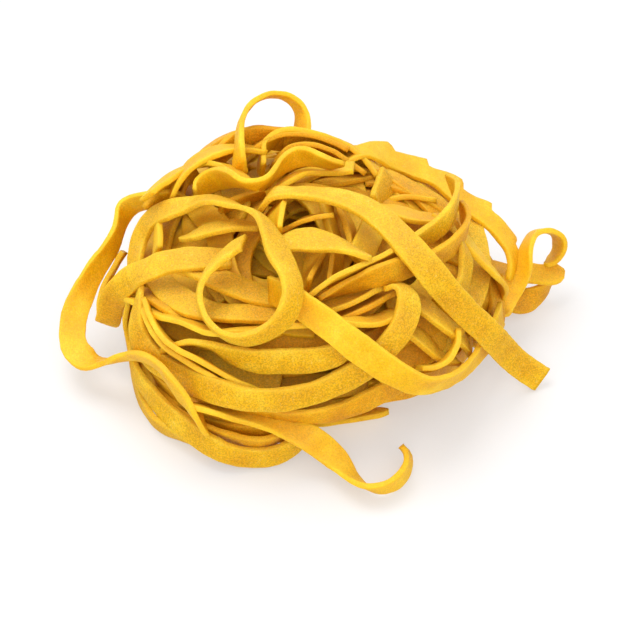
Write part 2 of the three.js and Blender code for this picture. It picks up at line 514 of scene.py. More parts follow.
@dataclass
class Heap:
    """The ribbons that already lie in the heap, on which the next one comes to rest."""

    maker: RibbonMaker = field(default_factory=RibbonMaker)
    clearance: float = 0.12
    reach: float = 5.0
    steepest: float = 0.3
    thickest_slab: float = 1.6
    widen_rows: int = 5
    ease_rows: float = 3.0
    finishes: dict[Cut, bpy.types.Material] = field(default_factory=dict)
    laid: dict[str, BVHTree] = field(default_factory=dict)
    boxes: dict[str, tuple[Vector, Vector]] = field(default_factory=dict)

    def obstacles(self, centres: list[Vector], ribbon: Ribbon) -> list[BVHTree]:
        """List what already lies near a route, leaving out the ribbons that it passes under."""
        margin = Vector((1, 1, 1)) * (self.reach + ribbon.width)
        low = Vector([min(c[i] for c in centres) for i in range(3)]) - margin
        high = Vector([max(c[i] for c in centres) for i in range(3)]) + margin
        near = []
        for name, tree in self.laid.items():
            box_low, box_high = self.boxes[name]
            apart = any(box_high[i] < low[i] or box_low[i] > high[i] for i in range(3))
            if not apart and name not in ribbon.under:
                near.append(tree)
        return near

    def lifts(self, line: Line, ribbon: Ribbon, ways: list[Vector]) -> list[float]:
        """Work out how far each row has to rise to lie on what is under it.

        Args:
            line: the ribbon's middle line with its frames.
            ribbon: the ribbon.
            ways: the direction in which each row rises.

        Returns:
            The rise of each row, in millimetres, eased along the ribbon.
        """
        trees = self.obstacles(line.centres, ribbon)
        needs = []
        for centre, across, face, way in zip(line.centres, line.across, line.face, ways):
            slant = max(abs(face.dot(way)), self.steepest)
            slab = min(ribbon.thickness / 2 / slant, self.thickest_slab) + self.clearance
            need = 0.0
            for share in (-1.0, -0.5, 0.0, 0.5, 1.0):
                start = centre + across * (share * ribbon.width / 2) + way * self.reach
                for tree in trees:
                    hit = tree.ray_cast(start, -way, self.reach + slab)
                    if hit[3] is not None:
                        need = max(need, self.reach - hit[3] + slab)
            needs.append(need)
        spread = self.widen_rows
        wide = [max(needs[max(0, i - spread):i + spread + 1]) for i in range(len(needs))]
        return blurred(wide, self.ease_rows)

    def lay(self, ribbon: Ribbon, seed: float, towards: Vector | None = None) -> None:
        """Bend a ribbon, rest it on the heap and keep it there.

        Args:
            ribbon: the ribbon.
            seed: where it reads its unevenness.
            towards: the direction in which it rises off what is under it; out of the heap if left out.
        """
        centres, leans = self.maker.sample(ribbon)
        line = self.maker.line(centres, leans, ribbon)
        hub = Vector(NEST_HUB)
        ways = [towards or (centre - hub).normalized() for centre in line.centres]
        rises = self.lifts(line, ribbon, ways)
        centres = [centre + way * rise for centre, way, rise in zip(line.centres, ways, rises)]
        strip = self.maker.bend(ribbon, Line(centres, line.across, line.face), seed)
        self.laid[ribbon.name] = BVHTree.FromBMesh(strip)
        self.boxes[ribbon.name] = (
            Vector([min(v.co[i] for v in strip.verts) for i in range(3)]),
            Vector([max(v.co[i] for v in strip.verts) for i in range(3)]))
        bmesh.ops.scale(strip, vec=(MM, MM, MM), verts=strip.verts)
        keep(strip, ribbon.name, self.finishes[ribbon.cut])
        length = len(centres) * self.maker.row_step
        LOG.info("%s: %.0f mm long, raised at most %.1f mm", ribbon.name, length, max(rises))


def keep(shape: bmesh.types.BMesh, name: str, material: bpy.types.Material) -> None:
    """Turn a finished bmesh into a piece of the nest, which rides on the body and stands for the CAD heap.

    Args:
        shape: the shape, in metres; it is freed.
        name: the piece's name.
        material: its finish.
    """
    mesh = bpy.data.meshes.new(name)
    shape.to_mesh(mesh)
    shape.free()
    mesh.materials.append(material)
    mesh.shade_smooth()
    piece = bpy.data.objects.new(name, mesh)
    bpy.context.collection.objects.link(piece)
    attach(piece, BODY)
    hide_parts(CAD_NODE)


@dataclass
class Core:
    """The tangle that no gap shows clearly: a small lump of dough under the ribbons."""

    radius: float = 33.0
    height: float = 31.0
    floor_gap: float = 0.6
    foot_height: float = 14.0
    foot_share: float = 0.7
    foot_flare: float = 0.3
    furrow_depth: float = 0.05
    furrow_pitch: float = 26.0

    def build(self, material: bpy.types.Material) -> None:
        """Build the lump from a sphere, flat below and furrowed like packed ribbons.

        Args:
            material: its finish.
        """
        lump = bmesh.new()
        bmesh.ops.create_icosphere(lump, subdivisions=5, radius=1.0)
        for vert in lump.verts:
            swirl = 2.0 * math.sin(math.atan2(vert.co.y, vert.co.x) * 2)
            furrow = 1.0 + self.furrow_depth * math.sin(vert.co.z * self.furrow_pitch + swirl)
            height = max(vert.co.z, 0.0) ** 0.8 * self.height * furrow
            foot = self.foot_share + self.foot_flare * min(height / self.foot_height, 1.0)
            spread = self.radius * furrow * foot
            vert.co = Vector((vert.co.x * spread, vert.co.y * spread, height + self.floor_gap)) * MM
        bmesh.ops.recalc_face_normals(lump, faces=lump.faces)
        keep(lump, "core", material)


@dataclass
class InnerCoils:
    """Coils wound round the heap before the ones that show: they close its back, its inside and its foot."""

    name: str = "inner coils"
    seed: int = 11
    noise_start: float = 31.0
    noise_step: float = 1.7
    girdle_count: int = 26
    crown_count: int = 14
    back_count: int = 5
    stations: int = 22
    radius: float = 46.0
    height: float = 45.0
    dome_power: float = 2.5
    lowest: float = 3.6
    front_depth: float = 7.5
    back_depth: float = 1.5
    layer_depth: float = 5.0
    foot_tuck: float = 9.0
    tuck_bearing: float = -60.0
    tuck_height: float = 22.0
    girdle_low: float = 4.0
    girdle_rise: float = 31.0
    golden_share: float = 0.618
    crown_turn: float = 2.4
    crown_margin: float = 3.0
    crown_lowest: float = 4.0
    crown_hollow: float = 7.0
    hollow_radius: float = 34.0
    sweep_low: float = 4.0
    sweep_step: float = 6.0
    sweep_wave: float = 2.2
    sweep_depth: float = 4.5

    def radius_at(self, height: float, depth: float) -> float:
        """Radius of the dome at a height and a depth under its surface, in millimetres."""
        share = min(max(height, 0.0) / (self.height - depth), 0.98)
        return (self.radius - depth) * (1.0 - share ** self.dome_power) ** (1.0 / self.dome_power)

    def height_at(self, distance: float, depth: float) -> float:
        """Height of the dome at a distance from its axis, in millimetres."""
        share = min(distance / (self.radius - depth), 0.98)
        return (self.height - depth) * (1.0 - share ** self.dome_power) ** (1.0 / self.dome_power)

    def tuck_at(self, bearing: float, height: float) -> float:
        """How far the foot of the heap is drawn in, which is most in front on the right."""
        facing = max(math.cos(bearing - math.radians(self.tuck_bearing)), 0.0)
        return self.foot_tuck * facing * max(1.0 - height / self.tuck_height, 0.0)

    def depth_at(self, bearing: float, layer: float) -> float:
        """Depth under the surface: deep in front, where other ribbons go on top, and shallow behind."""
        front = 0.5 - 0.5 * math.sin(bearing)
        depth = self.back_depth + (self.front_depth - self.back_depth) * front
        return depth + (1.0 - layer) * self.layer_depth

    def girdle(self, index: int, dice: random.Random) -> Ribbon:
        """Route one coil round the side.

        Args:
            index: its place in the winding, from the inside out.
            dice: the seeded source of unevenness.

        Returns:
            The ribbon.
        """
        layer = index / (self.girdle_count - 1)
        level = self.girdle_low + self.girdle_rise * ((index * self.golden_share) % 1.0)
        start = dice.uniform(0.0, math.tau)
        sweep = dice.uniform(2.6, 4.6)
        slope = dice.uniform(3.0, 9.0)
        phase = dice.uniform(0.0, math.tau)
        lean_phase = dice.uniform(0.0, math.tau)
        route = []
        for i in range(self.stations):
            bearing = start + sweep * i / (self.stations - 1)
            height = level + slope * math.sin(bearing + phase) + 1.5 * math.sin(3 * bearing + phase)
            height = max(height, self.lowest)
            depth = self.depth_at(bearing, layer) + 1.2 * math.sin(2 * bearing + lean_phase)
            radius = self.radius_at(height, depth) - self.tuck_at(bearing, height)
            lean = 14.0 * math.sin(2 * bearing + lean_phase)
            route.append((radius * math.cos(bearing), radius * math.sin(bearing), height, lean))
        cut = (Cut.SMOOTH, Cut.GRAINY, Cut.OCHRE_AND_SHADE)[index % 3]
        return Ribbon(f"girdle_coil_{index + 1}", tuple(route), cut)

    def crown(self, index: int, dice: random.Random) -> Ribbon:
        """Route one coil over the crown.

        Args:
            index: its place in the winding, from the inside out.
            dice: the seeded source of unevenness.

        Returns:
            The ribbon.
        """
        layer = index / (self.crown_count - 1)
        away = index * self.crown_turn
        offset = dice.uniform(6.0, 17.0)
        size = dice.uniform(13.0, 25.0)
        sweep = dice.uniform(2.6, 4.4)
        lean_phase = dice.uniform(0.0, math.tau)
        route = []
        for i in range(self.stations):
            bearing = away + sweep * i / (self.stations - 1)
            x = offset * math.cos(away) + size * math.cos(bearing)
            y = offset * math.sin(away) + size * math.sin(bearing)
            distance = math.hypot(x, y)
            depth = self.depth_at(math.atan2(y, x), layer)
            shrink = min(1.0, (self.radius - depth - self.crown_margin) / max(distance, 1.0))
            hollow = self.crown_hollow * max(1.0 - (distance / self.hollow_radius) ** 2, 0.0)
            height = max(self.height_at(distance * shrink, depth) - hollow, self.crown_lowest)
            route.append((x * shrink, y * shrink, height, 12.0 * math.sin(2 * bearing + lean_phase)))
        cut = (Cut.SMOOTH, Cut.OCHRE_AND_SHADE, Cut.GRAINY)[index % 3]
        return Ribbon(f"crown_coil_{index + 1}", tuple(route), cut)

    def back(self, index: int, dice: random.Random) -> Ribbon:
        """Route one sweep round the back only, where no other ribbon will cover the coils.

        Args:
            index: its place, from the floor up.
            dice: the seeded source of unevenness.

        Returns:
            The ribbon.
        """
        start = math.radians(dice.uniform(8.0, 30.0))
        sweep = math.radians(dice.uniform(115.0, 150.0))
        phase = dice.uniform(0.0, math.tau)
        route = []
        for i in range(self.stations):
            bearing = start + sweep * i / (self.stations - 1)
            height = self.sweep_low + self.sweep_step * index
            height += self.sweep_wave * math.sin(2 * bearing + phase)
            radius = self.radius_at(height, self.sweep_depth)
            lean = 16.0 * math.sin(3 * bearing + phase)
            across, back = radius * math.cos(bearing), radius * math.sin(bearing)
            route.append((across, back, max(height, self.lowest), lean))
        cut = (Cut.GRAINY, Cut.SMOOTH, Cut.OCHRE_AND_SHADE)[index % 3]
        return Ribbon(f"back_sweep_{index + 1}", tuple(route), cut)

    def build(self, heap: Heap) -> None:
        """Lay all the coils, from the inside out.

        Args:
            heap: the heap that takes them.
        """
        dice = random.Random(self.seed)
        ribbons = [self.girdle(i, dice) for i in range(self.girdle_count)]
        ribbons += [self.crown(i, dice) for i in range(self.crown_count)]
        ribbons += [self.back(i, dice) for i in range(self.back_count)]
        for number, ribbon in enumerate(ribbons):
            heap.lay(ribbon, self.noise_start + number * self.noise_step)


@dataclass(frozen=True)
class RibbonGroup:
    """Ribbons that lie together, in the order in which they were laid."""

    name: str
    noise_start: float
    ribbons: tuple[Ribbon, ...]
    noise_step: float = 2.3

    def build(self, heap: Heap) -> None:
        """Lay the group on the heap, rising towards the shown side.

        Args:
            heap: the heap that takes them.
        """
        for number, ribbon in enumerate(self.ribbons):
            heap.lay(ribbon, self.noise_start + number * self.noise_step, SHOWN_SIDE)


# In the groups below, the ribbons that lie in shade take the ochre dough, whose darker colour is painted
# shade.
# The outline at the back of the crown, with the loop that stands up from it and the ruffled strand.
REAR_CROWN = RibbonGroup("rear crown", 100.0, (
    Ribbon("rear_band", (
        (-34, 10, 33, -10), (-30, 18, 39, -15), (-28, 20, 42, -12), (-25, 22, 44, -12), (-21, 24, 46, -14),
        (-16, 26, 47, -16), (-10, 27, 46.5, -20), (-3, 28, 45, -22), (4, 28, 42, -25)), Cut.OCHRE_AND_SHADE),
    Ribbon("rear_inner", (
        (-24, 19, 41, -50), (-19, 24, 43.5, -65), (-15, 26, 44, -72), (-11, 27, 44, -72), (-7, 27, 43, -65),
        (-2, 27, 41, -55)), Cut.OCHRE_AND_SHADE),
    Ribbon("rear_inner_right", (
        (-6, 27, 42, -62), (2, 27.5, 41, -62), (9, 26, 39, -60), (15, 24, 37, -58)), Cut.OCHRE_AND_SHADE),
    Ribbon("rear_inner_left", (
        (-38.5, 14, 31, -55), (-37, 15, 32.5, -55), (-33, 18.5, 35.5, -55), (-27, 21, 38, -55)), Cut.OCHRE_AND_SHADE),
    Ribbon("rear_face", (
        (-33, 14, 36, -5), (-30, 16, 41, -8), (-26, 18, 44, 0), (-21, 20, 45, 0), (-16, 22, 44, -8),
        (-10, 22, 43, -15))),
    Ribbon("rear_under", (
        (-16, 22, 41, -25), (-11, 26, 43, -15), (-4, 27, 45, -12), (4, 26, 44, -15), (10, 24, 42, -18)),
        Cut.OCHRE_AND_SHADE),
    Ribbon("top_loop", (
        (-16, 8, 46, 1), (-16.5, 12, 47, -1), (-16.5, 16, 48, -10), (-16.5, 20, 49, -20),
        (-16.5, 22.5, 50.5, -26), (-15.5, 25, 52.5, -21), (-14, 27, 54.5, -15), (-12, 28.5, 55.5, -13),
        (-9.5, 30, 55.5, -10), (-6, 31, 54.5, -4), (-3.5, 31.5, 52.5, 0), (-2, 31.5, 50, 5),
        (-1, 31.5, 46, 10), (-1.5, 30.5, 43, 13), (-2, 28, 40.5, 12)), hub=(-9.5, 23.5, 46)),
    Ribbon("rear_arch", (
        (-11, 18, 40, -80), (-11.5, 24, 41.5, -60), (-8, 27, 44, -38), (-3, 28, 45, -22), (3, 27, 44.5, -18),
        (9, 26, 42.5, -15), (14, 24, 40, -15), (18, 20, 37, -15))),
    Ribbon("rear_arch_inner", (
        (-8, 19, 41, -40), (-6.5, 22, 43, -30), (-3, 23, 44.5, -22), (1, 23, 44.5, -22), (5, 23, 43, -22),
        (9, 22, 41, -22), (14, 20, 38, -20)), Cut.OCHRE_AND_SHADE),
    Ribbon("rear_wave", (
        (8, 21, 39, -40), (10, 23, 40.5, -30), (12, 25, 41.5, 0), (15, 26, 41.5, 28), (19.5, 27, 39, 28),
        (24, 27, 37, 30), (28.5, 26, 35.5, 26), (33, 25, 34, 26), (36, 23, 32.5, 28), (39, 21, 29.5, 30),
        (43, 19, 28, 30), (46.5, 17, 26, 24), (49, 14, 24, 16), (51, 11, 23, 8), (52, 8, 20.5, 0),
        (51, 5.5, 16.5, -5)), width=8.2, scallop=-2.8),
    Ribbon("rear_face_right", (
        (14, 20, 36, 0), (18, 20, 36, 0), (23, 20, 34, 8), (29, 18, 33, 8), (35, 14, 30, 0), (40, 8, 24, 0)),
        Cut.OCHRE_AND_SHADE),
    Ribbon("crown_band", (
        (1, 18, 37, -5), (5, 18, 37, -5), (10, 20, 36.5, -8), (16, 22, 36, -15)), Cut.OCHRE_AND_SHADE),
    Ribbon("upright_end", (
        (19.5, 20, 37.5, -47), (19, 17, 37, -52), (17.5, 13.5, 36.5, -57), (16.5, 9, 36.5, -60)),
        Cut.GRAINY),
    Ribbon("bright_strip", ((19, 16, 33, -25), (22, 17, 33, -25), (26, 17, 33, -22), (31, 17, 32, -22))),
    Ribbon("short_band", (
        (-9.5, 3, 45.5, -40), (-6.5, 4, 47, -35), (-3.5, 7, 47.5, -28), (0, 10, 47, -20), (4, 11, 46, -15),
        (8, 12, 45.5, -11), (11, 12, 46, -8))),
    Ribbon("pale_band", (
        (-38.5, 10, 38.5, -20), (-36, 14, 38.5, -12), (-32.5, 18, 39, -7), (-28.5, 20, 40, -12),
        (-24.5, 19, 41.5, -25), (-21, 16, 43.5, -37), (-17.5, 10, 46, -43), (-15, 5, 47.5, -47),
        (-13, 3, 48, -46))),
    Ribbon("ruffled_strand", (
        (-27, 9, 40, -57), (-25.5, 11, 41, -68), (-23, 11, 43, -80), (-20, 9, 45, -80), (-17, 5, 48, -66),
        (-14.5, 1, 49.5, -57), (-12, -1, 50.5, -50), (-9.5, 1, 50.5, -57), (-8, 5, 50, -69),
        (-5.5, 9, 50, -78), (-2.5, 12, 49.5, -78), (0.5, 11, 50, -62), (3.5, 10, 49, -47),
        (7, 11, 47, -37))),
))

# Short stretches that show down in the hollow of the crown.
CROWN_HOLLOW = RibbonGroup("crown hollow", 150.0, (
    Ribbon("hollow_wall", (
        (-21, 5, 38, -50), (-14, 9, 38.5, -55), (-8, 11, 38.5, -55), (-2, 12, 38.5, -55), (4, 12, 38, -52),
        (10, 11, 37, -50)), Cut.OCHRE_AND_SHADE, width=8.0),
    Ribbon("hollow_upright", (
        (4, 4, 43.5, -58), (4.5, 0, 43.5, -57), (5, -4, 43, -54), (6, -9, 43.5, -54), (7, -13, 42.5, -57))),
    Ribbon("hollow_slant", (
        (-9, -8, 41, -45), (-5, -7, 42.5, -50), (-1, -6, 44.5, -40), (5, -4, 44, -42)), Cut.OCHRE_AND_SHADE),
    Ribbon("hollow_amber", (
        (7, 6, 40, -52), (8.5, -1, 42, -52), (10, -9, 43.5, -56), (11, -14, 42, -52)), Cut.OCHRE_AND_SHADE),
    Ribbon("hollow_right", (
        (17, -1, 41.5, -38), (15, -5, 40.5, -20), (13, -10, 40, -28), (11.5, -15, 39, -38))),
    Ribbon("hollow_lean", (
        (3, -11, 40, 45), (1.5, -15, 39.5, 48), (0.5, -19, 39, 65), (0, -23, 38.5, 80)), Cut.OCHRE_AND_SHADE),
    Ribbon("hollow_deep", (
        (6.5, -10, 39, -61), (6.5, -14, 38.5, -65), (6, -18, 38, -67), (5.5, -22, 37, -67)), Cut.OCHRE_AND_SHADE),
    Ribbon("crown_pale", (
        (17.5, 9, 36.5, -13), (20.5, 6, 37.5, -7), (23.5, 4, 37.5, -2), (27, 3, 37.5, -8),
        (30, 3.5, 37, -27), (33, 5, 36, -39))),
))

# What wraps the right of the heap, under the long straight ribbon.
RIGHT_FLANK = RibbonGroup("right flank", 200.0, (
    Ribbon("flank_deep", (
        (39, 12, 25, -12), (42, 5, 21, -10), (44, 2, 16.5, 0), (44, -2, 11.5, 5), (41, -8, 6, -10)),
        Cut.OCHRE_AND_SHADE),
    Ribbon("flank_band", (
        (31, 8, 34.5, -15), (34.5, 5, 34, -16), (37, 0.5, 34, -20), (41, -3, 31, -14), (44, -2, 26, -12),
        (47.5, 1, 19, -12), (47, 2, 12, -5))),
    Ribbon("flank_behind", (
        (38, 16, 24, 5), (43, 11, 20, 0), (46, 5, 15.5, 0), (46.5, -2, 11, 0), (43, -9, 7, 0)), Cut.OCHRE_AND_SHADE),
    Ribbon("flank_turn", (
        (35, 2, 35, -35), (37, -6, 35, -35), (37, -12, 34, -32), (36, -17, 33, -50), (33, -20, 32, -60),
        (29.5, -19, 31, -65)), Cut.GRAINY),
    Ribbon("flank_foot", (
        (14, -30, 12, 50), (21, -28.5, 12, 50), (28, -26, 12, 52), (34, -21.5, 12, 52),
        (37.5, -16, 11.5, 48), (40, -10, 10.5, 42)), Cut.OCHRE_AND_SHADE, width=7.0),
    Ribbon("flank_grain", (
        (22, -18, 33, -12), (25, -20, 32, -22), (28.5, -21, 29, -20), (32.5, -20, 24, -18),
        (37, -17, 16, -12), (39, -14, 10, -5)), Cut.GRAINY),
    Ribbon("flank_lower", (
        (18, -25, 30, -40), (22, -25, 28, -38), (26, -25, 24.5, -28), (30, -24, 19, -24), (34, -20, 14, -32)),
        Cut.GRAINY),
    Ribbon("middle_under", (
        (6.5, -26.5, 32, -54), (10, -26.5, 34, -55), (14, -25.5, 35.5, -56), (17.5, -23.5, 36.5, -59),
        (21, -20, 35.5, -62)), Cut.OCHRE_AND_SHADE),
    Ribbon("middle_pale", (
        (1, -29, 36, -45), (5, -28.5, 37.5, -43), (9, -27.5, 38, -50), (13, -25.5, 38.5, -63),
        (16, -23, 38, -66)), Cut.GRAINY),
    Ribbon("middle_bright", (
        (6, -29, 34.5, -62), (8.5, -30, 34.5, -57), (11.5, -31, 35, -51), (15, -31, 35, -53),
        (18, -29.5, 35, -53), (21, -27, 35, -59))),
    Ribbon("wide_shaded", (
        (2, -28, 39.5, 114), (4.5, -27, 40, 107), (8.5, -26, 41.5, 93), (13, -24, 42, 80),
        (17.5, -22, 42, 68), (22.5, -19, 41.5, 62), (27, -14, 40, 70)), Cut.OCHRE_AND_SHADE),
    Ribbon("bright_edge", (
        (-0.5, -27.5, 39, 117), (1.5, -27.5, 41, 112), (4, -26, 42.5, 107), (7.5, -25, 44, 108),
        (12.5, -23.5, 45.5, 107), (16.5, -21.5, 46, 105), (20, -19, 46.5, 100), (23.5, -16, 46, 90),
        (27, -13, 45.5, 76), (30.5, -9, 45, 66), (33.5, -3, 44, 63), (35, 3, 43, 68), (36, 8, 42, 63),
        (35, 14, 39.5, 45)), Cut.GRAINY),
    Ribbon("nested_crescent", (
        (25, -15, 37, 93), (27.5, -15, 39, 76), (31, -12, 39, 71), (34.5, -7, 38, 69), (37, -1, 36.5, 70),
        (38, 5, 35, 64), (37.5, 10, 34.5, 54)), Cut.OCHRE_AND_SHADE),
    Ribbon("small_curl", (
        (-7.5, -2.5, 46, 41), (-7, -6.5, 46.5, 53), (-7, -9, 46, 71), (-6.5, -11.5, 45, 86))),
    Ribbon("centre_band", (
        (-7.5, -13, 44, -25), (-5, -15, 46, -6), (-2, -17, 48, 6), (2, -18, 48.5, 0), (5.5, -18, 48, -20),
        (9, -18, 46.5, -37), (11.5, -18.5, 45, -47), (14, -19, 44, -54)), Cut.GRAINY),
))

# The crossing stretches on the left, behind and through the hanging ring.
LEFT_WEAVE = RibbonGroup("left weave", 250.0, (
    Ribbon("pale_upright", ((-36.5, 2, 36, 50), (-36, -2, 35.5, 46), (-36, -6, 34.5, 42))),
    Ribbon("pointed_band", (
        (-30, 0, 34, -37), (-27.5, -2.5, 37, -18), (-24, -4, 40, -11), (-20, -6.5, 43, -15),
        (-16, -8, 45, -30), (-11, -9, 45, -44)), Cut.GRAINY, taper=(8.0, 0.0)),
    Ribbon("weave_low", (
        (-41, -2, 20, -45), (-38, -8, 24, -50), (-33, -16, 28, -46), (-26, -24, 30, -46),
        (-19, -28, 30, -50), (-12, -31, 30, -50)), Cut.OCHRE_AND_SHADE),
    Ribbon("weave_main", (
        (-37, -4, 27, -38), (-34.5, -10, 28.5, -22), (-31, -16, 30, -5), (-27, -21, 31.5, -22),
        (-22, -25, 33, -31), (-16.5, -28, 35.5, -28), (-11, -29, 36, -28), (-5, -29, 36, -33)), Cut.GRAINY),
    Ribbon("weave_ring_back", (
        (-27.5, -12, 35.5, -37), (-24, -15, 36.5, -27), (-20, -19, 37.5, -18), (-15, -22, 37.5, -18),
        (-10.5, -24, 37, -25), (-6, -24, 36, -35)), Cut.GRAINY),
    Ribbon("weave_edge", (
        (-41, -8, 22, -50), (-39, -12, 25, -51), (-35.5, -16, 26, -47), (-32.5, -20, 27.5, -51),
        (-29, -24, 29.5, -63), (-25.5, -28, 31.5, -72), (-21.5, -31, 32, -68), (-17, -33, 34.5, -62),
        (-12.5, -33.5, 35, -63), (-8.5, -33, 35.5, -64), (-3.5, -31, 34.5, -62), (3, -29, 33, -60))),
    Ribbon("shaded_arc", (
        (-34, -20, 15.5, 134), (-31.5, -24, 21, 127), (-27.5, -29, 27, 118), (-24, -33, 30.5, 103),
        (-20.5, -35.5, 31, 84), (-17, -37.5, 31, 64), (-13, -39, 30.5, 47), (-7.5, -39.5, 31, 42),
        (-2, -39, 30.5, 42), (4, -37.5, 30, 47), (9, -35, 30.5, 62)), Cut.GRAINY),
    Ribbon("thin_layer", (
        (-39, -13, 26, 68), (-37.5, -18, 24.5, 71), (-35.5, -22.5, 24, 80), (-32.5, -27, 24, 92),
        (-29, -30.5, 24, 95), (-25, -34.5, 24.5, 95), (-19, -37, 22, 92), (-12, -37.5, 17.5, 90),
        (-4, -36, 13.5, 88)), width=5.6),
    Ribbon("thin_layer_above", (
        (-37.5, -15.5, 27, 72), (-36, -20, 26.5, 75), (-34, -24.5, 26.5, 82), (-31.5, -28.5, 26.5, 91),
        (-28.5, -31.5, 26.5, 92), (-24, -34.5, 26.5, 92), (-18, -36, 23, 92), (-11, -36, 18.5, 90),
        (-4, -34.5, 14, 88)), width=5.6),
))

# The low front: the great arc, the loop out to the left, the arc on the floor and the front curl.
FRONT_SKIRT = RibbonGroup("front skirt", 300.0, (
    Ribbon("skirt_under", (
        (-36, -20, 6, 50), (-31.5, -27, 9.5, 58), (-25, -34, 12, 60), (-18, -38, 13, 60), (-11, -40, 14, 66),
        (-4, -41, 15, 68)), Cut.OCHRE_AND_SHADE),
    Ribbon("skirt_inner", (
        (-36, -22, 3.5, 42), (-30.5, -29, 4, 44), (-23, -36, 6, 38), (-15, -40, 8, 44), (-5, -40, 9, 54),
        (1, -39, 10, 66)), Cut.OCHRE_AND_SHADE),
    Ribbon("skirt_floor", (
        (-34, -25, 3.8, 58), (-28, -31, 3.8, 60), (-21, -35.5, 3.8, 62), (-12, -38.5, 3.8, 66),
        (-7, -37, 3.8, 72)), Cut.OCHRE_AND_SHADE),
    Ribbon("skirt_right", (
        (-8, -37, 12, 78), (-4, -37.5, 12, 80), (-0.5, -38, 12, 73), (4, -37.5, 12, 62),
        (10, -35.5, 12.5, 57), (16, -32, 13, 48), (21.5, -28.5, 14, 49), (27, -23.5, 14, 54),
        (33, -17, 14, 50)), Cut.OCHRE_AND_SHADE),
    Ribbon("floor_end", (
        (-2, -32, 4, -86), (4, -32, 3.5, -86), (7.5, -30.5, 3, -81), (11.5, -29, 3, -75),
        (15.5, -28, 3, -68), (19.5, -27.5, 3, -67)), taper=(0.0, 9.0)),
    Ribbon("front_arc", (
        (-39.5, -11, 27.5, 48), (-40, -14.5, 26.5, 36), (-40, -17.5, 25, 24), (-40.5, -20, 22.5, 15),
        (-39, -22, 20.5, 20), (-37, -25, 19, 28), (-33.5, -28.5, 19, 34), (-29.5, -32.5, 19.5, 34),
        (-25.5, -35.5, 20, 33), (-19, -39.5, 21, 35), (-13, -42.5, 22, 42), (-7.5, -43.5, 22.5, 48),
        (-2, -43, 23, 50), (4, -41, 23.5, 45), (9.5, -38.5, 25, 39), (14.5, -37, 28, 35), (18, -36, 32, 27),
        (21.5, -33.5, 35.5, 21), (23, -29.5, 38, 19), (23, -25.5, 39, 24), (21.5, -22.5, 38.5, 30),
        (19, -21, 37, 42)), Cut.GRAINY),
    Ribbon("floor_flap", (
        (-43, -13, 5, 30), (-42, -19.5, 3.4, 36), (-39.5, -26.5, 2.6, 40), (-36, -32.5, 2.2, 50),
        (-29, -37, 2.2, 64), (-22, -40, 2.6, 65)), Cut.GRAINY),
    Ribbon("floor_arc", (
        (-43, -5, 24, 22), (-43, -7.5, 21, 25), (-43.5, -8.5, 17, 29), (-44, -10, 13.5, 38),
        (-43, -13, 11, 42), (-42.5, -16.5, 9, 40), (-40.5, -20.5, 7.5, 37), (-37.5, -24.5, 6, 35),
        (-34, -29, 5, 29), (-29.5, -33.5, 4.5, 26), (-24.5, -38, 4, 29), (-18.5, -42.5, 4, 33),
        (-13, -44, 4, 37), (-7.5, -44, 4.5, 42), (-3.5, -42, 5.5, 57), (-0.5, -40.5, 7, 72)), Cut.GRAINY),
    Ribbon("left_loop", (
        (-30, 18, 31, 25), (-33, 18, 32.5, 31), (-35.5, 16.5, 33, 45), (-39, 16, 33, 66),
        (-43.5, 17, 31.5, 68), (-46.5, 16, 29.5, 58), (-47, 12, 27.5, 51), (-48, 9, 26, 49),
        (-50, 6.5, 24, 55), (-52.5, 4.5, 21.5, 69), (-54.5, 1, 18.5, 82), (-57, -3, 15.5, 104),
        (-58, -7, 12.5, 114), (-57.5, -12.5, 10.5, 128), (-54.5, -16.5, 9.5, 137), (-51.5, -17, 9, 139),
        (-48, -16.5, 9, 122), (-45, -17, 10.5, 109), (-41.5, -20, 14, 95), (-37.5, -24.5, 17.5, 77),
        (-34, -30.5, 20.5, 65), (-31, -36.5, 21.5, 57), (-28.5, -40.5, 20.5, 51), (-27, -41.5, 17.5, 50),
        (-25.5, -41, 14, 56), (-24, -39.5, 10.5, 62))),
    Ribbon("front_curl", (
        (-27, -36, 14, -84), (-25, -36.5, 14, -83), (-20.5, -37, 13, -80), (-15.5, -37.5, 12, -69),
        (-10, -37.5, 10.5, -58), (-5.5, -38, 9, -40), (-1, -39.5, 8, -14), (3, -42.5, 7, -12),
        (6.5, -46, 6, -31), (9, -49.5, 5, -57), (11, -52, 4.5, -82), (14, -54, 4.5, -112),
        (17.5, -54, 4.5, -131), (21, -51.5, 4.5, -141), (23, -48, 4.5, -141), (23.5, -44, 4.5, -134),
        (22, -41, 5, -121)), taper=(0.0, 4.0), under=("front_arc", "left_loop")),
))

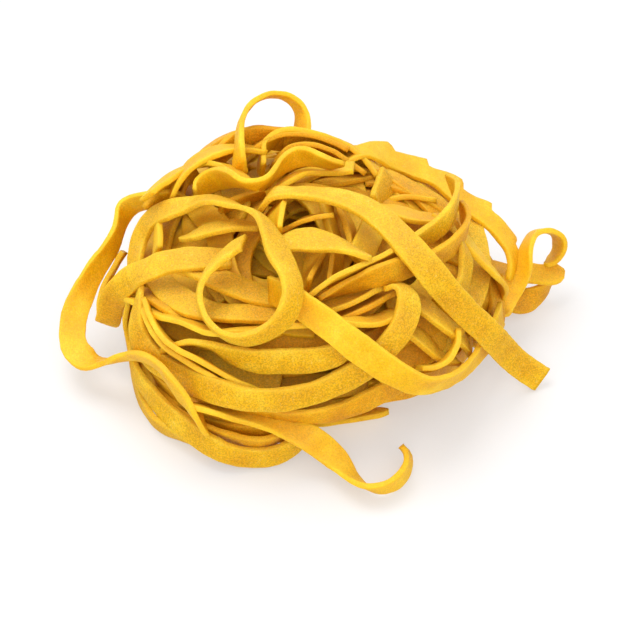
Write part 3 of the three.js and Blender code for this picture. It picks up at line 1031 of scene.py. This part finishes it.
# What was laid last: the diagonal, the right-hand loop, the long straight ribbon, the ring and the low loop.
TOP_RIBBONS = RibbonGroup("top ribbons", 350.0, (
    Ribbon("front_diagonal", (
        (-8.5, -22, 37, 60), (-5, -26, 38.5, 55), (-2, -30, 40, 45), (2.5, -33.5, 39, 37),
        (7, -36.5, 37, 34), (11, -39, 35, 36), (16, -41, 32, 44), (20.5, -42, 29, 55), (25.5, -41, 25, 65),
        (29.5, -38, 22.5, 70), (33.5, -33.5, 20, 68), (37.5, -27.5, 18, 57), (41, -20, 16, 44),
        (44.5, -11.5, 14, 36), (47, -3, 12.5, 32)), width=6.8),
    Ribbon("thin_end", (
        (25.5, -32, 22, 106), (28.5, -31, 21, 100), (31.5, -28.5, 20.5, 92), (33.5, -25.5, 21, 80),
        (34.5, -23, 22, 70), (34.5, -21, 22, 62)), width=4.4),
    Ribbon("coil_behind", (
        (42, 13, 13, -10), (46, 16, 11, -15), (50, 17.5, 9, 10), (54, 17, 7, 25)), Cut.OCHRE_AND_SHADE),
    Ribbon("ground_coil", (
        (43, 14, 5, 30), (48.5, 12.5, 4.5, 35), (52.5, 10.5, 4, 33), (57, 11.5, 4, 48), (60, 13.5, 4.5, 42),
        (62.5, 16, 5, 54)), Cut.OCHRE_AND_SHADE),
    Ribbon("petal", (
        (53, 14, 11, 18), (55, 15, 10.5, 20), (57, 15.5, 10, 22), (59, 15.5, 9.5, 24), (61, 15.5, 9, 24),
        (63.5, 16, 9, 20), (66, 17, 9.5, 12)), taper=(3.0, 4.0)),
    Ribbon("right_loop", (
        (43, -6, 4.5, 29), (45, -2, 6, 24), (46, 0.5, 6.5, 30), (48, 4, 9, 30), (51, 8, 11.5, 9),
        (53, 10.5, 14.5, -7), (54, 12.5, 17.5, -31), (54.5, 14, 20, -47), (55.5, 16, 21.5, -50),
        (57.5, 17.5, 22, -43), (60, 18, 22, -38), (62.5, 19, 21, -27), (64.5, 19, 18.5, -21),
        (64.5, 19, 15.5, 1), (63.5, 18.5, 12.5, 21), (61.5, 18.5, 11, 43)),
        under=("petal",), hub=(57.5, 17, 16)),
    Ribbon("long_straight", (
        (-10.5, 1.5, 42, 46), (-10, -1, 46, 18), (-8.5, -1.5, 48.5, -18), (-5.5, -3, 50.5, -23),
        (-2.5, -4.5, 52, -21), (2.5, -6.5, 53, -20), (8, -8, 53, -12), (13.5, -11, 52.5, -4),
        (18, -15.5, 51.5, 0), (22.5, -20, 49, 8), (26.5, -23, 45.5, 26), (30, -24, 41, 46),
        (34.5, -24, 34.5, 54), (40, -22, 26.5, 52), (45.5, -19.5, 17.5, 44), (51.5, -17, 8.5, 42),
        (57.5, -16, 2, 42)), Cut.GRAINY, width=6.8),
    Ribbon("hanging_ring", (
        (-41.5, -3, 22, -22), (-42, 1, 24, -19), (-42, 5.5, 26, -3), (-40.5, 9, 29, 15),
        (-37.5, 9.5, 33, 27), (-33, 6, 38, 10), (-28, 2, 43, -4), (-24, 0, 46, -23),
        (-20.5, -2.5, 47.5, -40), (-16.5, -6.5, 49, -47), (-13, -9, 50, -55), (-10.5, -12, 50.5, -61),
        (-9, -15, 50.5, -62), (-8, -18, 50, -50), (-7, -21, 49, -28), (-5.5, -24.5, 48, -34),
        (-3.5, -28, 46, -49), (-3, -31.5, 43.5, -57), (-4.5, -35.5, 41, -65), (-8, -37.5, 38.5, -79),
        (-13, -38.5, 36.5, -89), (-18, -36.5, 35.5, -92), (-22, -32.5, 36, -86), (-24.5, -28, 38, -71),
        (-24.5, -25, 41, -56), (-22.5, -23, 44, -44), (-20, -22, 46.5, -37), (-17.5, -21, 48.5, -31),
        (-14.5, -21, 50.5, -29)), Cut.GRAINY),
    Ribbon("low_loop", (
        (-18, -12, 38, 30), (-22.5, -13, 39, 25), (-27, -14, 39.5, 14), (-32, -13, 38, 7),
        (-36.5, -12, 35, 8), (-41, -10, 30.5, 8), (-45, -8.5, 25, 30), (-47.5, -7, 19.5, 34),
        (-48.5, -6.5, 15, 22), (-49.5, -6, 11, 12), (-50.5, -3.5, 11, 48), (-51.5, -1, 13, 62),
        (-51, 2, 15, 64), (-50, 4.5, 17.5, 60), (-48, 7, 20, 56), (-46, 9, 22.5, 56)),
        Cut.GRAINY, hub=(-50, -3, 16)),
))


@dataclass(frozen=True)
class SoftBox:
    """A square lamp that faces the nest: its place and side in millimetres, and its power in watts."""

    name: str
    place: tuple[float, float, float]
    side: float
    power: float
    aim: tuple[float, float, float] = (0.0, 0.0, 20.0)

    def hang(self) -> None:
        """Hang the lamp and turn it to the nest."""
        lamp = bpy.data.lights.new(self.name, "AREA")
        lamp.shape = "SQUARE"
        lamp.size = self.side * MM
        lamp.energy = self.power
        box = bpy.data.objects.new(self.name, lamp)
        box.location = Vector(self.place) * MM
        box.rotation_euler = (Vector(self.aim) - Vector(self.place)).to_track_quat("-Z", "Y").to_euler()
        bpy.context.collection.objects.link(box)


@dataclass
class Studio:
    """A plain white table under soft light, and the camera."""

    aim: tuple[float, float, float] = (0.5, 0.0, 11.0)
    elevation: float = 42.0
    distance: float = 430.5
    lens: float = 100.0
    sensor: float = 36.0
    table_size: float = 6000.0
    table_colour: str = "#b4b4b6"
    table_roughness: float = 0.9
    table_glow: tuple[str, float] = ("#fffdfa", 0.4)
    sky: float = 0.91
    lamps: tuple[SoftBox, ...] = (
        SoftBox("key", (-150, 60, 640), 380, 2.05),
        SoftBox("fill", (60, -520, 420), 460, 1.5),
    )

    def build(self) -> None:
        """Set the table, lights and camera."""
        self.set_table()
        self.set_lights()
        self.set_camera()

    def set_table(self) -> None:
        """Lay the table top, level with the nest's foot."""
        top = bmesh.new()
        bmesh.ops.create_grid(top, x_segments=1, y_segments=1, size=self.table_size * MM / 2)
        mesh = bpy.data.meshes.new("table")
        top.to_mesh(mesh)
        top.free()
        table = bpy.data.objects.new("table", mesh)
        bpy.context.collection.objects.link(table)
        material = bpy.data.materials.new("matt_white_board")
        material.use_nodes = True
        shader = material.node_tree.nodes["Principled BSDF"]
        shader.inputs["Base Color"].default_value = linear(self.table_colour)
        shader.inputs["Roughness"].default_value = self.table_roughness
        shader.inputs["Emission Color"].default_value = linear(self.table_glow[0])
        shader.inputs["Emission Strength"].default_value = self.table_glow[1]
        mesh.materials.append(material)

    def set_lights(self) -> None:
        """Light the nest softly: a bright room, a soft box high on the left and a lower one in front."""
        world = bpy.data.worlds.new("white_room")
        world.use_nodes = True
        background = world.node_tree.nodes["Background"]
        background.inputs["Color"].default_value = (1.0, 1.0, 1.0, 1.0)
        background.inputs["Strength"].default_value = self.sky
        bpy.context.scene.world = world
        for lamp in self.lamps:
            lamp.hang()

    def set_camera(self) -> None:
        """Point the camera at the nest from the shown side."""
        tilt = math.radians(self.elevation)
        back = Vector((0.0, -math.cos(tilt), math.sin(tilt)))
        lens = bpy.data.cameras.new("camera")
        lens.lens = self.lens
        lens.sensor_width = self.sensor
        lens.clip_start = 0.02
        camera = bpy.data.objects.new("camera", lens)
        camera.location = (Vector(self.aim) + back * self.distance) * MM
        camera.rotation_euler = back.to_track_quat("Z", "Y").to_euler()
        bpy.context.collection.objects.link(camera)
        bpy.context.scene.camera = camera
        bpy.context.scene.view_settings.view_transform = "Standard"


DOUGHS: dict[Cut, EggDough] = {
    Cut.SMOOTH: EggDough(
        "egg_dough_rolled", "#e8b306", "#dc9c02", "#f1c62a", "#fbe488", grit=0.5),
    Cut.GRAINY: EggDough(
        "egg_dough_sandy", "#e1ad0a", "#d39904", "#edc32e", "#fbe488", grit=0.85, roughness=0.66),
    # The ochre dough is the dough darkened, as painted shade.
    Cut.OCHRE_AND_SHADE: EggDough(
        "egg_dough_ochre_and_shade", "#dc9d04", "#cb8702", "#e6b218", "#f6d976", grit=0.75, roughness=0.62),
}


def main() -> None:
    """Build the nest from the inside out, then its surroundings."""
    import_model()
    finishes = {cut: dough.make() for cut, dough in DOUGHS.items()}
    heap = Heap(finishes=finishes)
    # The core, which lies only in shade, takes the darker ochre dough as painted shade.
    Core().build(finishes[Cut.OCHRE_AND_SHADE])
    for group in (InnerCoils(), REAR_CROWN, CROWN_HOLLOW, RIGHT_FLANK, LEFT_WEAVE, FRONT_SKIRT, TOP_RIBBONS):
        group.build(heap)
        LOG.info("%s laid, %d ribbons in the heap", group.name, len(heap.laid))
    Studio().build()


if __name__ == "__main__":
    logging.basicConfig(level=logging.INFO, format="%(name)s: %(message)s")
    main()
